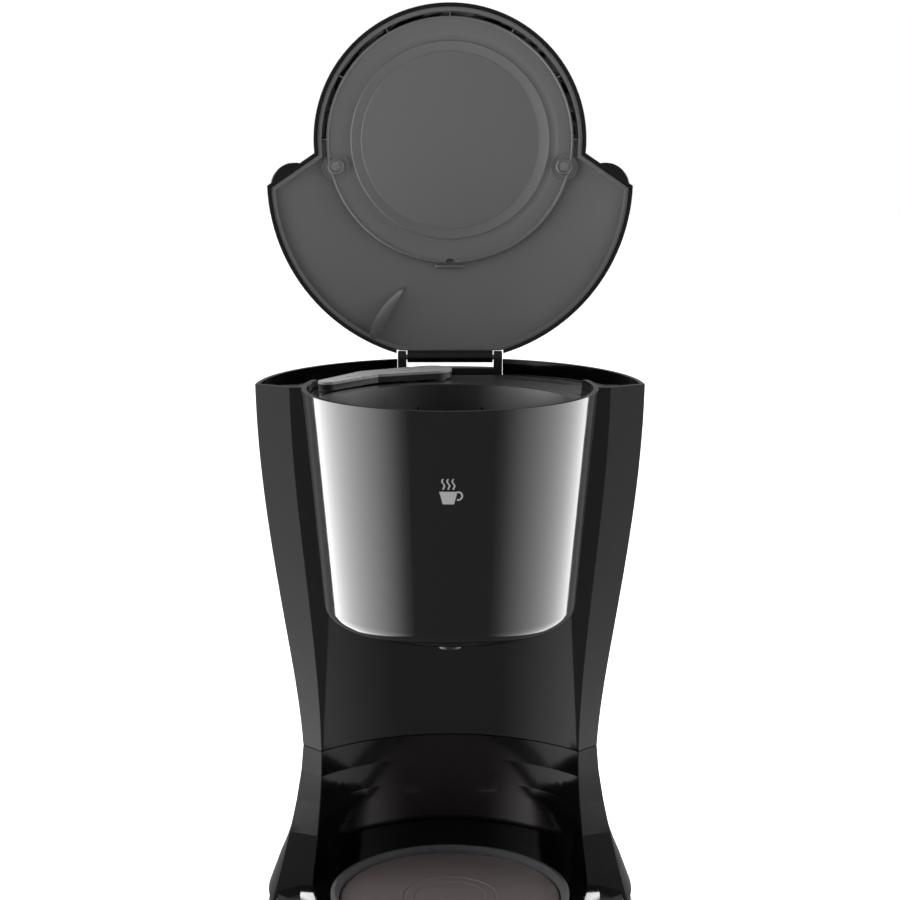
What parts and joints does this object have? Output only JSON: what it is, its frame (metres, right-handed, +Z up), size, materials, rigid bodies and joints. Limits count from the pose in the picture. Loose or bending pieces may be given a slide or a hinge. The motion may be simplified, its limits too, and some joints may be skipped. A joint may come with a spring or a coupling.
{
  "type": "drip coffee maker",
  "caption": "Drip coffee maker with a flared body, a rear water tank, a hinged lid, a swivelling water arm, a lift-out filter basket and a hotplate.",
  "frame": {"origin": "on the surface the machine stands on, under the brewing axis, which is the middle of the hotplate", "axes": "+Z up, -Y to the front (the side with the switch), +X to the machine's left as seen from behind and to the right as seen from the front"},
  "size_m": [0.2144, 0.2854, 0.5253],
  "materials": {
    "black_gloss": "high gloss black moulded plastic",
    "black_satin": "satin black moulded plastic",
    "black_matte": "fine textured black plastic",
    "dark_grey_satin": "satin dark grey moulded plastic",
    "grey_satin": "satin grey moulded plastic",
    "grey_plastic": "smooth dark grey polypropylene",
    "clear_plastic": "clear moulded plastic",
    "rubber": "matt black rubber",
    "silicone_grey": "grey silicone",
    "silicone_hose": "translucent milky silicone",
    "plate_coat": "non-stick coated steel",
    "cast_aluminium": "extruded and cast aluminium",
    "sheet_steel": "stainless sheet steel",
    "zinc": "zinc plated steel",
    "spring_steel": "stainless spring wire",
    "pin_steel": "ground steel pin",
    "steel_ball": "polished steel ball",
    "brass": "tinned brass",
    "sleeve": "braided glass fibre sleeve",
    "white_nylon": "white nylon",
    "red_lens": "translucent red rocker",
    "lamp_glass": "neon lamp glass"
  },
  "bodies": {
    "housing": {"base_tray": "black_gloss", "base_neck": "black_gloss", "bottom_cover": "black_matte", "foot_front_left": "rubber", "foot_front_right": "rubber", "foot_back_left": "rubber", "foot_back_right": "rubber", "cover_screws": "zinc", "hotplate": "plate_coat", "hotplate_seal": "silicone_grey", "heating_element": "cast_aluminium", "heater_clamp": "sheet_steel", "thermostat": "sheet_steel", "thermal_fuses": "sleeve", "switch_frame": "black_matte", "switch_lamp": "lamp_glass", "switch_blades": "brass", "cord_gland": "rubber", "terminal_block": "white_nylon", "column_housing": "black_gloss", "level_window": "clear_plastic", "water_tank": "grey_plastic", "upper_deck": "black_satin", "riser_pipe": "sheet_steel", "check_valve_body": "white_nylon", "cold_hose": "silicone_hose", "hot_hose": "silicone_hose", "hose_clips": "zinc", "brew_housing": "black_gloss", "hinge_bracket": "black_satin", "hinge_pins": "pin_steel"},
    "lid": {"lid_shell": "black_gloss", "lid_panel": "dark_grey_satin", "lid_disc": "dark_grey_satin", "lid_screws": "zinc"},
    "outlet_arm": {"arm_trough": "black_satin", "arm_cap": "grey_satin"},
    "basket": {"filter_basket": "black_satin", "drip_stop_guide": "black_matte", "drip_stop_spring": "spring_steel"},
    "drip_stop": {"drip_stop_stem": "black_matte", "drip_stop_seal": "silicone_hose"},
    "rocker": {"switch_rocker": "red_lens"},
    "valve_ball": {"check_valve_ball": "steel_ball"}
  },
  "joints": [
    {"name": "lid_hinge", "type": "hinge", "parent": "housing", "child": "lid", "pos_m": [0, 0.1279, 0.321], "axis": [-1, 0, 0], "range_deg": [-100.8, 0]},
    {"name": "arm_swivel", "type": "hinge", "parent": "housing", "child": "outlet_arm", "pos_m": [-0.01, 0.092, 0.3175], "axis": [0, 0, 1], "range_deg": [0, 56]},
    {"name": "basket_lift", "type": "slide", "parent": "housing", "child": "basket", "axis": [0, 0, 1], "range_m": [0, 0.15]},
    {"name": "drip_stop_push", "type": "slide", "parent": "basket", "child": "drip_stop", "axis": [0, 0, 1], "range_m": [0, 0.004], "stiffness_N_per_m": 250, "springref_m": -0.003, "deforming": ["drip_stop_spring"]},
    {"name": "switch_rock", "type": "hinge", "parent": "housing", "child": "rocker", "pos_m": [0, -0.105, 0.0205], "axis": [1, 0, 0], "range_deg": [0, 18]},
    {"name": "ball_float", "type": "slide", "parent": "housing", "child": "valve_ball", "axis": [0, 0, 1], "range_m": [0, 0.002]}
  ],
  "couplings": [
    {"joint": "arm_swivel", "follows": "lid_hinge", "ratio": -0.55556}
  ]
}
